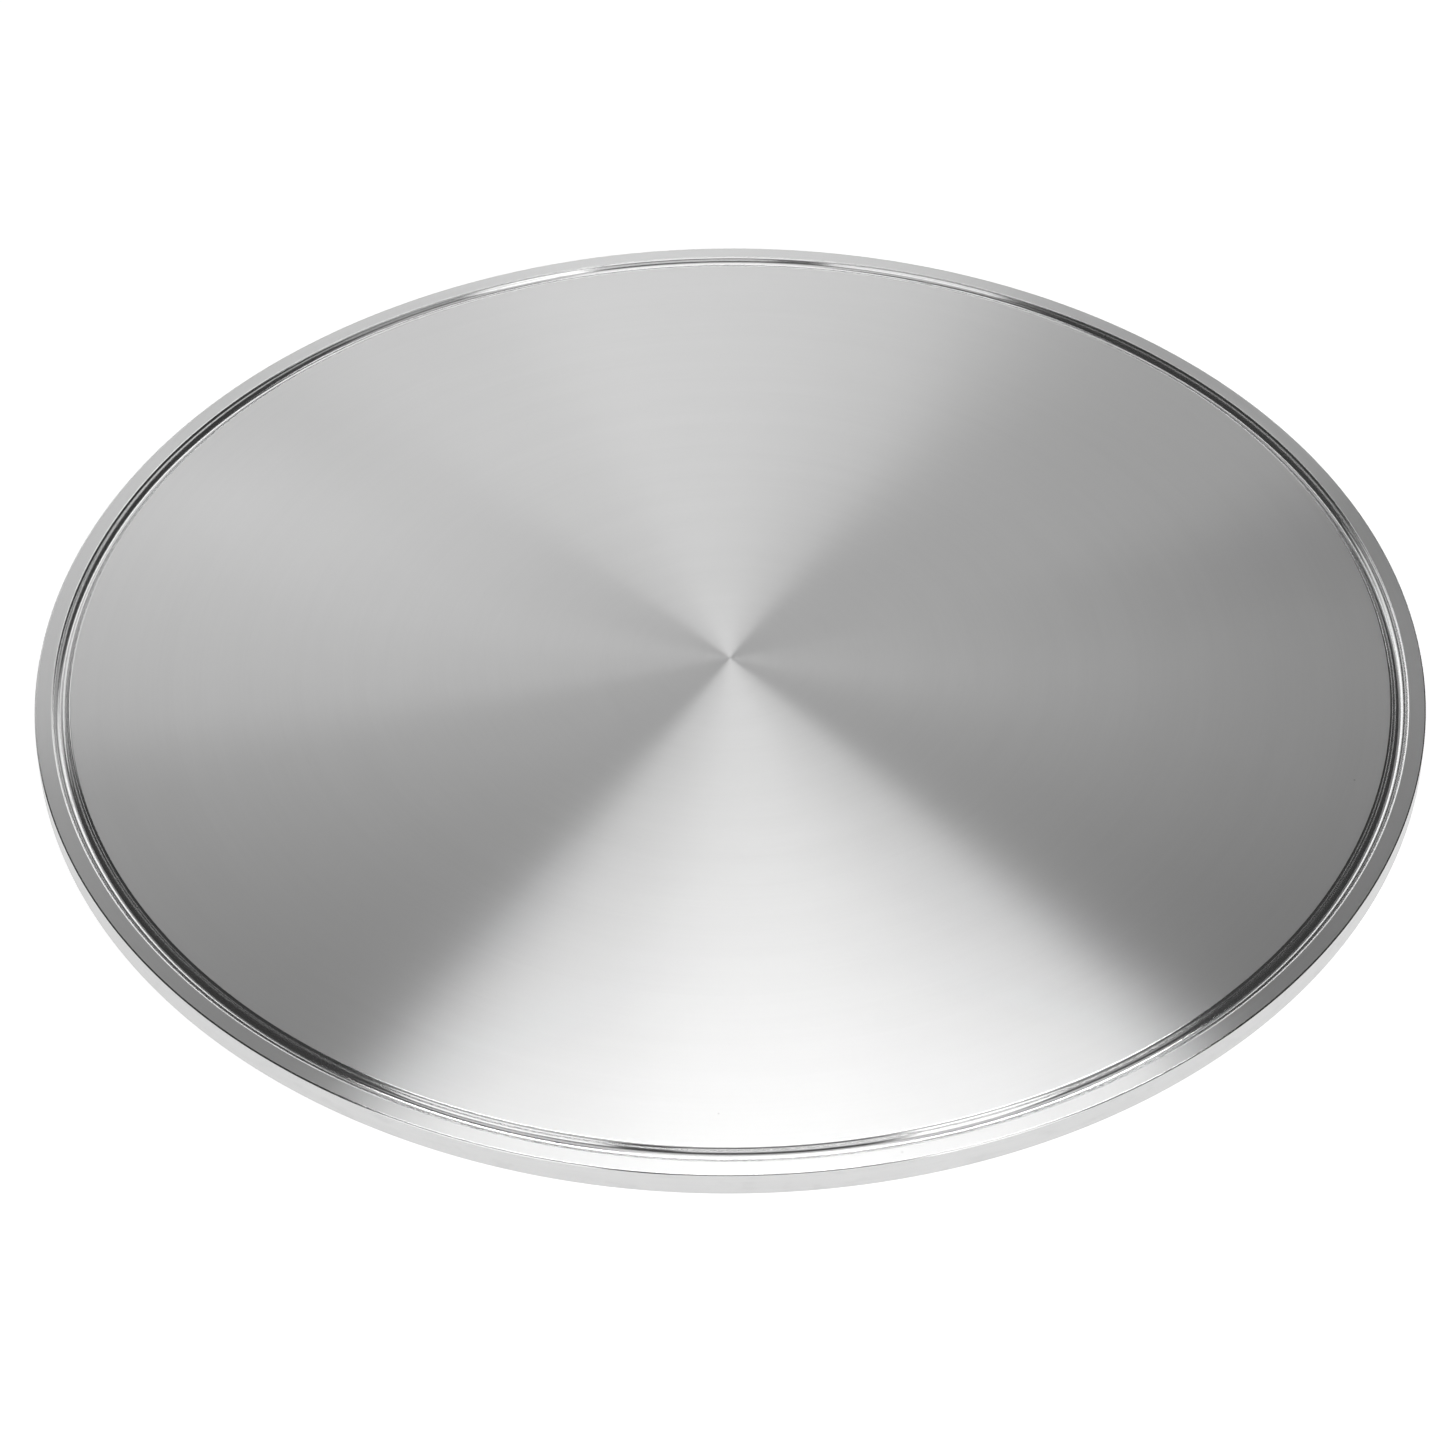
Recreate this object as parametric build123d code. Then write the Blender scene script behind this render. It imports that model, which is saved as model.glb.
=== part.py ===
from build123d import *

import os
from math import radians, tan

# Solid end cap for a 12 inch hygienic clamp joint, turned as one piece from stainless plate.
#
# The cap lies on its flat back with the sealing face up. Near its rim the sealing face has a
# round-bottomed groove, which holds the bead of the gasket. The rim is a short cylinder, and
# behind it a bevel, which the clamp squeezes, runs in to the flat back.
#
# Millimetres and degrees. The origin is the centre of the back face, and +Z is the axis of
# the cap, towards the sealing face.

# Disc
FLANGE_DIAMETER = 319.28  # outside of the rim, 12.570 inches
PLATE_THICKNESS = 12.7  # back face to sealing face
RIM_HEIGHT = 5.59  # straight part of the rim, 0.220 inches
BEVEL_ANGLE = 20.0  # clamp bevel, measured from the plane of the disc

# Gasket groove
GROOVE_INSET = 5.97  # from the rim in to the middle of the groove, 0.235 inches
GROOVE_RADIUS = 1.59  # round bottom
GROOVE_DEPTH = 1.59
LIP_RADIUS = 0.79  # where each side of the groove runs out into the sealing face

# Turned edges
RIM_TOP_RADIUS = 0.4
RIM_BOTTOM_RADIUS = 0.4
BACK_EDGE_RADIUS = 0.8

# Corners of the half section, as (distance from the axis, height)
BEVEL_WIDTH = (PLATE_THICKNESS - RIM_HEIGHT) / tan(radians(BEVEL_ANGLE))
RIM_TOP = (FLANGE_DIAMETER / 2, PLATE_THICKNESS)
RIM_BOTTOM = (FLANGE_DIAMETER / 2, PLATE_THICKNESS - RIM_HEIGHT)
BACK_EDGE = (FLANGE_DIAMETER / 2 - BEVEL_WIDTH, 0)
GROOVE_MOUTH = (FLANGE_DIAMETER / 2 - GROOVE_INSET, PLATE_THICKNESS)


def disc_blank():
    """Half section of the plain disc: back face, clamp bevel, rim and sealing face."""
    return make_face(Polyline((0, 0), BACK_EDGE, RIM_BOTTOM, RIM_TOP, (0, PLATE_THICKNESS), close=True))


def groove():
    """Section of the groove: a round-nosed slot that runs out into the sealing face in rounded lips.

    The slot and the open space above the face are grown together by the lip radius and shrunk
    back, which rounds the two lips and leaves the rest as it was, however deep the groove is.
    """
    slot_middle = Pos(0, GROOVE_RADIUS - GROOVE_DEPTH / 2)
    slot = slot_middle * SlotCenterToCenter(GROOVE_DEPTH, 2 * GROOVE_RADIUS, rotation=90)
    clear_width = 4 * (GROOVE_RADIUS + LIP_RADIUS)
    space_above = Rectangle(clear_width, 4 * GROOVE_RADIUS, align=(Align.CENTER, Align.MIN))
    grown = offset(slot + space_above, LIP_RADIUS, kind=Kind.INTERSECTION)
    return Pos(GROOVE_MOUTH) * offset(grown, -LIP_RADIUS, kind=Kind.ARC)


def rounded(section, corner, radius):
    """The section with the corner nearest to a point rounded off."""
    return fillet(section.vertices().sort_by_distance(corner)[0], radius)


def end_cap():
    """The finished half section, turned about the axis."""
    section = disc_blank() - groove()
    section = rounded(section, RIM_TOP, RIM_TOP_RADIUS)
    section = rounded(section, RIM_BOTTOM, RIM_BOTTOM_RADIUS)
    section = rounded(section, BACK_EDGE, BACK_EDGE_RADIUS)
    return revolve(Plane.XZ * section, Axis.Z)


os.makedirs("parts", exist_ok=True)
export_step(end_cap(), "parts/end_cap.step")
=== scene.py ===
from math import acos, cos, pi, radians, sin, tan

import bmesh
import bpy
from mathutils import Matrix, Vector


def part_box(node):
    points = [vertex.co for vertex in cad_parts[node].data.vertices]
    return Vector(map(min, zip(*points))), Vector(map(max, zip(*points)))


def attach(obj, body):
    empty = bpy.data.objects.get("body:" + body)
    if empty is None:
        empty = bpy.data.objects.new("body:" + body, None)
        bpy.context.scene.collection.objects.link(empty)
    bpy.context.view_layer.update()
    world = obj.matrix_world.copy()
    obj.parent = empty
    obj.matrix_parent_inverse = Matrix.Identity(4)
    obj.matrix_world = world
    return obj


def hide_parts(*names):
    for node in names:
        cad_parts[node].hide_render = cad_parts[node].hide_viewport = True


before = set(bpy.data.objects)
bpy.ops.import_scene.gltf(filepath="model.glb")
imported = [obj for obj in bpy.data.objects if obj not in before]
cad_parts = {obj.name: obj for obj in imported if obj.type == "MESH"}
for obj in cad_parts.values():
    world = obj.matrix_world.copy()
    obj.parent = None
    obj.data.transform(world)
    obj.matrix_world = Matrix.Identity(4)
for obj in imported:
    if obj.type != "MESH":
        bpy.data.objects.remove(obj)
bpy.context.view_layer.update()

# Solid stainless end cap for a 12 inch hygienic clamp joint, lying on its flat back with the
# sealing face up. Lengths are in metres and angles in radians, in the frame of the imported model:
# the origin is the centre of the back face and +Z is the axis of the cap.

FAR_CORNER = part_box("end_cap")[1]

# Section of the cap
RIM_RADIUS = FAR_CORNER.x
THICKNESS = FAR_CORNER.z
RIM_HEIGHT = 0.00559
BEVEL_ANGLE = radians(20)
GROOVE_INSET = 0.00597  # from the rim in to the middle of the groove
GROOVE_RADIUS = 0.00159
GROOVE_DEPTH = 0.00159
LIP_RADIUS = 0.00079
RIM_TOP_RADIUS = 0.0004
RIM_BOTTOM_RADIUS = 0.0004
BACK_EDGE_RADIUS = 0.0008

# Fineness of the mesh
TURN_STEPS = 480  # round the cap
ARC_STEP = radians(5)  # round each small radius of the section
FEWEST_ARC_STEPS = 4
EDGE_RING = 0.00012  # a ring this far inside each end of a flat keeps the flat's shading flat
MERGE_DISTANCE = 0.000001

# Which finish a face of the mesh gets: the places of the three steels in the cap's materials
TURNED = 0
FORMED = 1
RUBBED = 2
FACE_UP = 0.999  # the Z of the normal, on the sealing face and the land outside the groove
BEVEL_DOWN = -0.9  # the Z of the normal, on the bevel and the back
WALL_UPRIGHT = 0.01  # the most Z in the normal of the rim's wall
WALL_GAP = 0.00001  # how far inside the rim's radius its wall may lie

# Metal
STEEL_GREY = 0.62
MARKS_ROUND = 0.25  # a quarter turn of the tangent, which lays the marks round the axis
FEED = 0.0006  # between the marks of the facing cut
FACE_ROUGHNESS = 0.319
FACE_ANISOTROPY = 1.0
FACE_RELIEF = 0.000003
GROOVE_ROUGHNESS = 0.17
GROOVE_ANISOTROPY = 0.78
GROOVE_RELIEF = 0.000004
RIM_ROUGHNESS = 0.34
RIM_ANISOTROPY = 0.6
RIM_RELIEF = 0.000006
SPECK_CORE = 0.4  # the share of a speck's radius that is fully dark

# Floor and light
FLOOR_REACH = 6  # from the middle to each side
FLOOR_WHITE = 0.4
FLOOR_GLOW = 0.85
FLOOR_ROUGHNESS = 0.8
MOTTLE_SIZE = 0.2
AMBIENT = 0.055

# Camera
CAMERA_DISTANCE = 1.0185  # from the centre of the sealing face
CAMERA_ELEVATION = radians(41.46)
CAMERA_PAN = radians(0.068)
CAMERA_TILT = radians(-0.87)
CAMERA_ROLL = radians(-0.241)
LENS = 109.5  # millimetres, as the sensor's width is
SENSOR_WIDTH = 36


class Section:
    """A half section walked as a chain of edges in the XZ plane, keeping the metal on the left."""

    def __init__(self):
        self.mesh = bmesh.new()
        self.tip = self.mesh.verts.new((0, 0, 0))
        self.heading = 0

    def left(self):
        return Vector((-sin(self.heading), 0, cos(self.heading)))

    def forward(self, length):
        """A straight run, with a ring near each end."""
        start = self.tip.co.copy()
        ahead = Vector((cos(self.heading), 0, sin(self.heading)))
        for distance in (EDGE_RING, length - EDGE_RING, length):
            self.tip = bmesh.ops.extrude_vert_indiv(self.mesh, verts=[self.tip])["verts"][0]
            self.tip.co = start + distance * ahead

    def turn(self, angle, radius):
        """A round run to the left, or to the right where the angle is negative."""
        side = 1 if angle > 0 else -1
        centre = self.tip.co + side * radius * self.left()
        steps = max(FEWEST_ARC_STEPS, round(abs(angle) / ARC_STEP))
        swept = bmesh.ops.spin(
            self.mesh, geom=[self.tip], cent=centre, axis=(0, -1, 0), angle=angle, steps=steps
        )
        ends = [part for part in swept["geom_last"] if isinstance(part, bmesh.types.BMVert)]
        self.tip = ends[0]
        self.heading += angle


def corner_trim(angle, radius):
    """How much of each flat a rounded corner takes up."""
    return radius * tan(angle / 2)


def cap_section():
    """The half section of the cap, from the middle of the back round the rim to the middle of the face."""
    steep = pi / 2 - BEVEL_ANGLE
    bevel_rise = THICKNESS - RIM_HEIGHT
    bevel_length = bevel_rise / sin(BEVEL_ANGLE)
    back_radius = RIM_RADIUS - bevel_rise / tan(BEVEL_ANGLE)
    back_trim = corner_trim(BEVEL_ANGLE, BACK_EDGE_RADIUS)
    bottom_trim = corner_trim(steep, RIM_BOTTOM_RADIUS)
    lip_turn = acos((GROOVE_RADIUS - GROOVE_DEPTH + LIP_RADIUS) / (GROOVE_RADIUS + LIP_RADIUS))
    mouth = (GROOVE_RADIUS + LIP_RADIUS) * sin(lip_turn)
    groove_circle = RIM_RADIUS - GROOVE_INSET
    section = Section()
    section.forward(back_radius - back_trim)
    section.turn(BEVEL_ANGLE, BACK_EDGE_RADIUS)
    section.forward(bevel_length - back_trim - bottom_trim)
    section.turn(steep, RIM_BOTTOM_RADIUS)
    section.forward(RIM_HEIGHT - bottom_trim - RIM_TOP_RADIUS)
    section.turn(pi / 2, RIM_TOP_RADIUS)
    section.forward(GROOVE_INSET - RIM_TOP_RADIUS - mouth)
    section.turn(lip_turn, LIP_RADIUS)
    section.turn(-2 * lip_turn, GROOVE_RADIUS)
    section.turn(lip_turn, LIP_RADIUS)
    section.forward(groove_circle - mouth)
    return section.mesh


def turned_cap():
    """The section turned a full circle about the axis, with its poles closed."""
    mesh = cap_section()
    bmesh.ops.spin(
        mesh,
        geom=mesh.verts[:] + mesh.edges[:],
        cent=(0, 0, 0),
        axis=(0, 0, 1),
        angle=2 * pi,
        steps=TURN_STEPS,
        use_merge=True,
    )
    bmesh.ops.remove_doubles(mesh, verts=mesh.verts, dist=MERGE_DISTANCE)
    bmesh.ops.recalc_face_normals(mesh, faces=mesh.faces)
    for face in mesh.faces:
        face.smooth = True
        face.material_index = finish_of(face)
    return mesh


def finish_of(face):
    """Turned on the flats, bevel and back, rubbed on the rim's wall, and formed elsewhere."""
    if face.normal.z > FACE_UP or face.normal.z < BEVEL_DOWN:
        return TURNED
    at_rim = face.calc_center_median().xy.length > RIM_RADIUS - WALL_GAP
    if at_rim and abs(face.normal.z) < WALL_UPRIGHT:
        return RUBBED
    return FORMED


def piece(name, mesh, materials):
    """An object at the origin from a bmesh and its materials."""
    data = bpy.data.meshes.new(name)
    mesh.to_mesh(data)
    mesh.free()
    made = bpy.data.objects.new(name, data)
    bpy.context.scene.collection.objects.link(made)
    for material in materials:
        data.materials.append(material)
    return made


class Socket:
    """A shader socket that takes part in Python expressions."""

    def __init__(self, shader, source):
        self.shader = shader
        self.source = source

    def math(self, operation, *values):
        return self.shader.node("ShaderNodeMath", {"operation": operation}, list(values))

    def __add__(self, other):
        return self.math("ADD", self, other)

    def __radd__(self, other):
        return self.math("ADD", other, self)

    def __sub__(self, other):
        return self.math("SUBTRACT", self, other)

    def __rsub__(self, other):
        return self.math("SUBTRACT", other, self)

    def __mul__(self, other):
        return self.math("MULTIPLY", self, other)

    def __rmul__(self, other):
        return self.math("MULTIPLY", other, self)

    def __truediv__(self, other):
        return self.math("DIVIDE", self, other)

    def __rtruediv__(self, other):
        return self.math("DIVIDE", other, self)

    def __pow__(self, other):
        return self.math("POWER", self, other)

    def __rpow__(self, other):
        return self.math("POWER", other, self)

    def __gt__(self, other):
        return self.math("GREATER_THAN", self, other)

    def __lt__(self, other):
        return self.math("LESS_THAN", self, other)

    def swing(self, amount):
        """A pattern from 0 to 1 as a change about zero, the amount from its lowest to its highest."""
        return (self - 0.5) * amount


class Shader:
    """A material's node tree, and the one way that nodes are added to it."""

    def __init__(self, name):
        self.material = bpy.data.materials.new(name)
        self.material.use_nodes = True
        self.nodes = self.material.node_tree.nodes
        self.links = self.material.node_tree.links
        self.nodes.clear()

    def node(self, kind, settings=None, values=None, output=0):
        """A node of a kind, its settings first, then its sockets by name or in order.

        Gives one output, or a list of them where several are asked for.
        """
        made = self.nodes.new(kind)
        for name, value in (settings or {}).items():
            setattr(made, name, value)
        pairs = values.items() if isinstance(values, dict) else enumerate(values or [])
        for key, value in pairs:
            if isinstance(value, Socket):
                self.links.new(value.source, made.inputs[key])
            else:
                made.inputs[key].default_value = value
        if isinstance(output, tuple):
            return [Socket(self, made.outputs[each]) for each in output]
        return Socket(self, made.outputs[output])

    def finish(self, surface):
        """The material, with this shader as its surface."""
        output = self.nodes.new("ShaderNodeOutputMaterial")
        self.links.new(surface.source, output.inputs["Surface"])
        return self.material

    def place(self, unit):
        """Where a point lies on the piece, counted in units of a length."""
        point = self.node("ShaderNodeTexCoord", output="Object")
        return self.node("ShaderNodeVectorMath", {"operation": "SCALE"}, {"Vector": point, "Scale": 1 / unit})

    def noise(self, place, detail=2.0):
        """Soft noise from 0 to 1, one grain to a unit of place."""
        return self.node("ShaderNodeTexNoise", None, {"Vector": place, "Scale": 1.0, "Detail": detail})

    def band(self, value, low, high):
        """0 below low, 1 above high, and a smooth rise between."""
        settings = {"interpolation_type": "SMOOTHSTEP"}
        return self.node("ShaderNodeMapRange", settings, {"Value": value, "From Min": low, "From Max": high})

    def grey(self, value):
        """A neutral colour as bright as a value."""
        return self.node("ShaderNodeCombineColor", None, [value, value, value])


class Steel(Shader):
    """Stainless steel finished on a lathe: every mark runs round the axis."""

    def __init__(self, name):
        super().__init__(name)
        point = self.node("ShaderNodeTexCoord", output="Object")
        x, y, z = self.node("ShaderNodeSeparateXYZ", None, [point], (0, 1, 2))
        radius = (x * x + y * y) ** 0.5
        self.out_x = x / radius
        self.out_y = y / radius
        self.across = radius + z  # grows across the marks on flats, curves and the rim's wall

    def streaks(self, spacing, arcs):
        """Streaks round the axis, a spacing apart, each about 1/arcs of a radian long."""
        values = [self.out_x * arcs, self.out_y * arcs, self.across / spacing]
        return self.noise(self.node("ShaderNodeCombineXYZ", None, values))

    def clouds(self, size):
        """Soft patches of a size."""
        return self.noise(self.place(size), detail=3.0)

    def specks(self, spacing, size, share):
        """Tiny round dots on a share of cells a spacing wide: 1 on a dot and 0 elsewhere."""
        values = {"Vector": self.place(spacing), "Scale": 1.0}
        distance, colour = self.node("ShaderNodeTexVoronoi", None, values, (0, 1))
        chosen = self.node("ShaderNodeSeparateColor", None, [colour]) > 1 - share
        reach = size / spacing
        return (1 - self.band(distance, SPECK_CORE * reach, reach)) * chosen

    def surface(self, colour, roughness, anisotropy, height, relief):
        """The metal, smoother along its marks than across them, with the height raised by a relief."""
        tangent = self.node("ShaderNodeTangent", {"direction_type": "RADIAL", "axis": "Z"})
        normal = self.node("ShaderNodeBump", None, {"Strength": 1.0, "Distance": relief, "Height": height})
        return self.finish(self.node("ShaderNodeBsdfPrincipled", None, {
            "Base Color": self.grey(colour),
            "Metallic": 1.0,
            "Roughness": roughness,
            "Anisotropic": anisotropy,
            "Anisotropic Rotation": MARKS_ROUND,
            "Tangent": tangent,
            "Normal": normal,
        }))


def turned_steel():
    """The faced flats and the clamp bevel: fine even tool marks, faint rings and a few specks."""
    steel = Steel("turned_steel")
    marks = steel.streaks(spacing=FEED, arcs=3.0)
    rings = steel.streaks(spacing=0.006, arcs=0.7)
    haze = steel.clouds(size=0.05)
    specks = steel.specks(spacing=0.018, size=0.00035, share=0.5)
    tone = marks.swing(0.02) + rings.swing(0.03) + haze.swing(0.03)
    colour = STEEL_GREY + tone - specks * 0.2
    roughness = FACE_ROUGHNESS + marks.swing(0.015) + rings.swing(0.02) + haze.swing(0.03)
    height = marks * 0.8 + rings * 0.2
    return steel.surface(colour, roughness, FACE_ANISOTROPY, height, FACE_RELIEF)


def groove_steel():
    """The groove, its lips and the rounded edges, left brighter by the form tool."""
    steel = Steel("groove_steel")
    marks = steel.streaks(spacing=0.0004, arcs=5.0)
    scuffed = steel.band(steel.clouds(size=0.007), low=0.58, high=0.72)
    scratches = steel.band(steel.streaks(spacing=0.0012, arcs=60.0), low=0.5, high=0.7)
    scuffs = scuffed * scratches
    colour = STEEL_GREY + marks.swing(0.05) - scuffs * 0.07
    roughness = GROOVE_ROUGHNESS + marks.swing(0.05) + scuffs * 0.1
    height = marks + scuffs * 0.3
    return steel.surface(colour, roughness, GROOVE_ANISOTROPY, height, GROOVE_RELIEF)


def rim_steel():
    """The wall of the rim, which tools and hands rub: streaks round it, and soft patches."""
    steel = Steel("rim_steel")
    marks = steel.streaks(spacing=0.0005, arcs=8.0)
    patches = steel.clouds(size=0.012)
    rubs = steel.band(steel.streaks(spacing=0.003, arcs=25.0), low=0.52, high=0.7)
    colour = STEEL_GREY + marks.swing(0.05) + patches.swing(0.08) - rubs * 0.03
    roughness = RIM_ROUGHNESS + marks.swing(0.06) + patches.swing(0.1)
    height = marks * 0.7 + patches * 0.3
    return steel.surface(colour, roughness, RIM_ANISOTROPY, height, RIM_RELIEF)


def white_floor():
    """Plain pale floor, faintly mottled, with a glow that evens out the shadows."""
    shader = Shader("white_floor")
    mottle = shader.noise(shader.place(MOTTLE_SIZE))
    surface = shader.node("ShaderNodeBsdfPrincipled", None, {
        "Base Color": shader.grey(FLOOR_WHITE + mottle.swing(0.01)),
        "Roughness": FLOOR_ROUGHNESS,
        "Emission Color": (1, 1, 1, 1),
        "Emission Strength": FLOOR_GLOW,
    })
    return shader.finish(surface)


def make_cap():
    """The one piece, fitted over its node in the frame."""
    cap = piece("end_cap_turned", turned_cap(), [turned_steel(), groove_steel(), rim_steel()])
    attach(cap, "root")
    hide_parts("end_cap")


def make_floor():
    mesh = bmesh.new()
    bmesh.ops.create_grid(mesh, x_segments=1, y_segments=1, size=FLOOR_REACH)
    floor = piece("floor", mesh, [white_floor()])


def softbox(name, place, aim, width, height, brightness):
    """A rectangular area light at a place, facing a point. Brightness is its radiance."""
    light = bpy.data.lights.new(name, "AREA")
    light.shape = "RECTANGLE"
    light.size = width
    light.size_y = height
    light.energy = brightness * pi * width * height
    lamp = bpy.data.objects.new(name, light)
    bpy.context.scene.collection.objects.link(lamp)
    lamp.location = place
    lamp.rotation_euler = (Vector(aim) - Vector(place)).to_track_quat("-Z", "Y").to_euler()
    lamp.visible_camera = False


def make_lights():
    """Soft boxes round and above the cap, and a faint even light from all round."""
    world = bpy.data.worlds.new("studio")
    world.use_nodes = True
    background = world.node_tree.nodes["Background"]
    background.inputs["Color"].default_value = (1, 1, 1, 1)
    background.inputs["Strength"].default_value = AMBIENT
    bpy.context.scene.world = world

    # A narrow strip close above the cap, facing the near side: it makes the bright near cone.
    softbox(
        "key", place=(0.023, 0.006, 0.319), aim=(0.083, -0.628, 0.268),
        width=0.367, height=0.064, brightness=10.7,
    )

    # Boxes overhead
    softbox(
        "high_front", place=(0.026, -0.373, 0.883), aim=(0.041, -0.427, 0.247),
        width=1.430, height=0.516, brightness=0.85,
    )
    softbox(
        "top", place=(0.034, -0.036, 1.083), aim=(0.033, -0.025, 0.445),
        width=0.370, height=0.413, brightness=1.39,
    )
    softbox(
        "over", place=(0.073, 0.295, 0.836), aim=(0.064, 0.518, 0.238),
        width=0.560, height=0.160, brightness=2.6,
    )
    softbox(
        "over_rear", place=(-0.012, 1.038, 1.069), aim=(-0.091, 1.316, 0.499),
        width=0.162, height=0.689, brightness=2.04,
    )

    # Upright boxes round the cap, facing its axis
    softbox(
        "front", place=(0.241, -1.249, 0.376), aim=(0, 0, 0.376),
        width=0.857, height=0.618, brightness=1.00,
    )
    softbox(
        "front_left", place=(-0.582, -0.908, 0.370), aim=(0, 0, 0.370),
        width=0.600, height=0.741, brightness=1.68,
    )
    softbox(
        "front_right", place=(0.454, -0.635, 0.461), aim=(0, 0, 0.461),
        width=0.275, height=0.798, brightness=1.95,
    )
    softbox(
        "right", place=(0.883, -0.585, 0.289), aim=(0, 0, 0.289),
        width=0.437, height=0.578, brightness=0.39,
    )
    softbox(
        "rear", place=(-0.088, 0.658, 0.518), aim=(0, 0, 0.518),
        width=0.369, height=0.254, brightness=0.80,
    )
    softbox(
        "rear_high", place=(-0.216, 0.945, 0.560), aim=(0, 0, 0.560),
        width=1.555, height=0.382, brightness=1.15,
    )
    softbox(
        "rear_low", place=(0, 1.12, 0.075), aim=(0, 0, 0.075),
        width=2.400, height=0.150, brightness=3.00,
    )


def make_camera():
    """Above the near side of the cap, looking down at it."""
    data = bpy.data.cameras.new("camera")
    data.lens = LENS
    data.sensor_width = SENSOR_WIDTH
    camera = bpy.data.objects.new("camera", data)
    bpy.context.scene.collection.objects.link(camera)
    reach = CAMERA_DISTANCE * Vector((0, -cos(CAMERA_ELEVATION), sin(CAMERA_ELEVATION)))
    place = Matrix.Translation(Vector((0, 0, THICKNESS)) + reach)
    aim = Matrix.Rotation(pi / 2 - CAMERA_ELEVATION, 4, "X") @ Matrix.Rotation(CAMERA_PAN, 4, "Y")
    lean = Matrix.Rotation(CAMERA_TILT, 4, "X") @ Matrix.Rotation(CAMERA_ROLL, 4, "Z")
    camera.matrix_world = place @ aim @ lean
    bpy.context.scene.camera = camera


make_camera()
make_lights()
make_floor()
make_cap()
bpy.context.scene.view_settings.view_transform = "Standard"
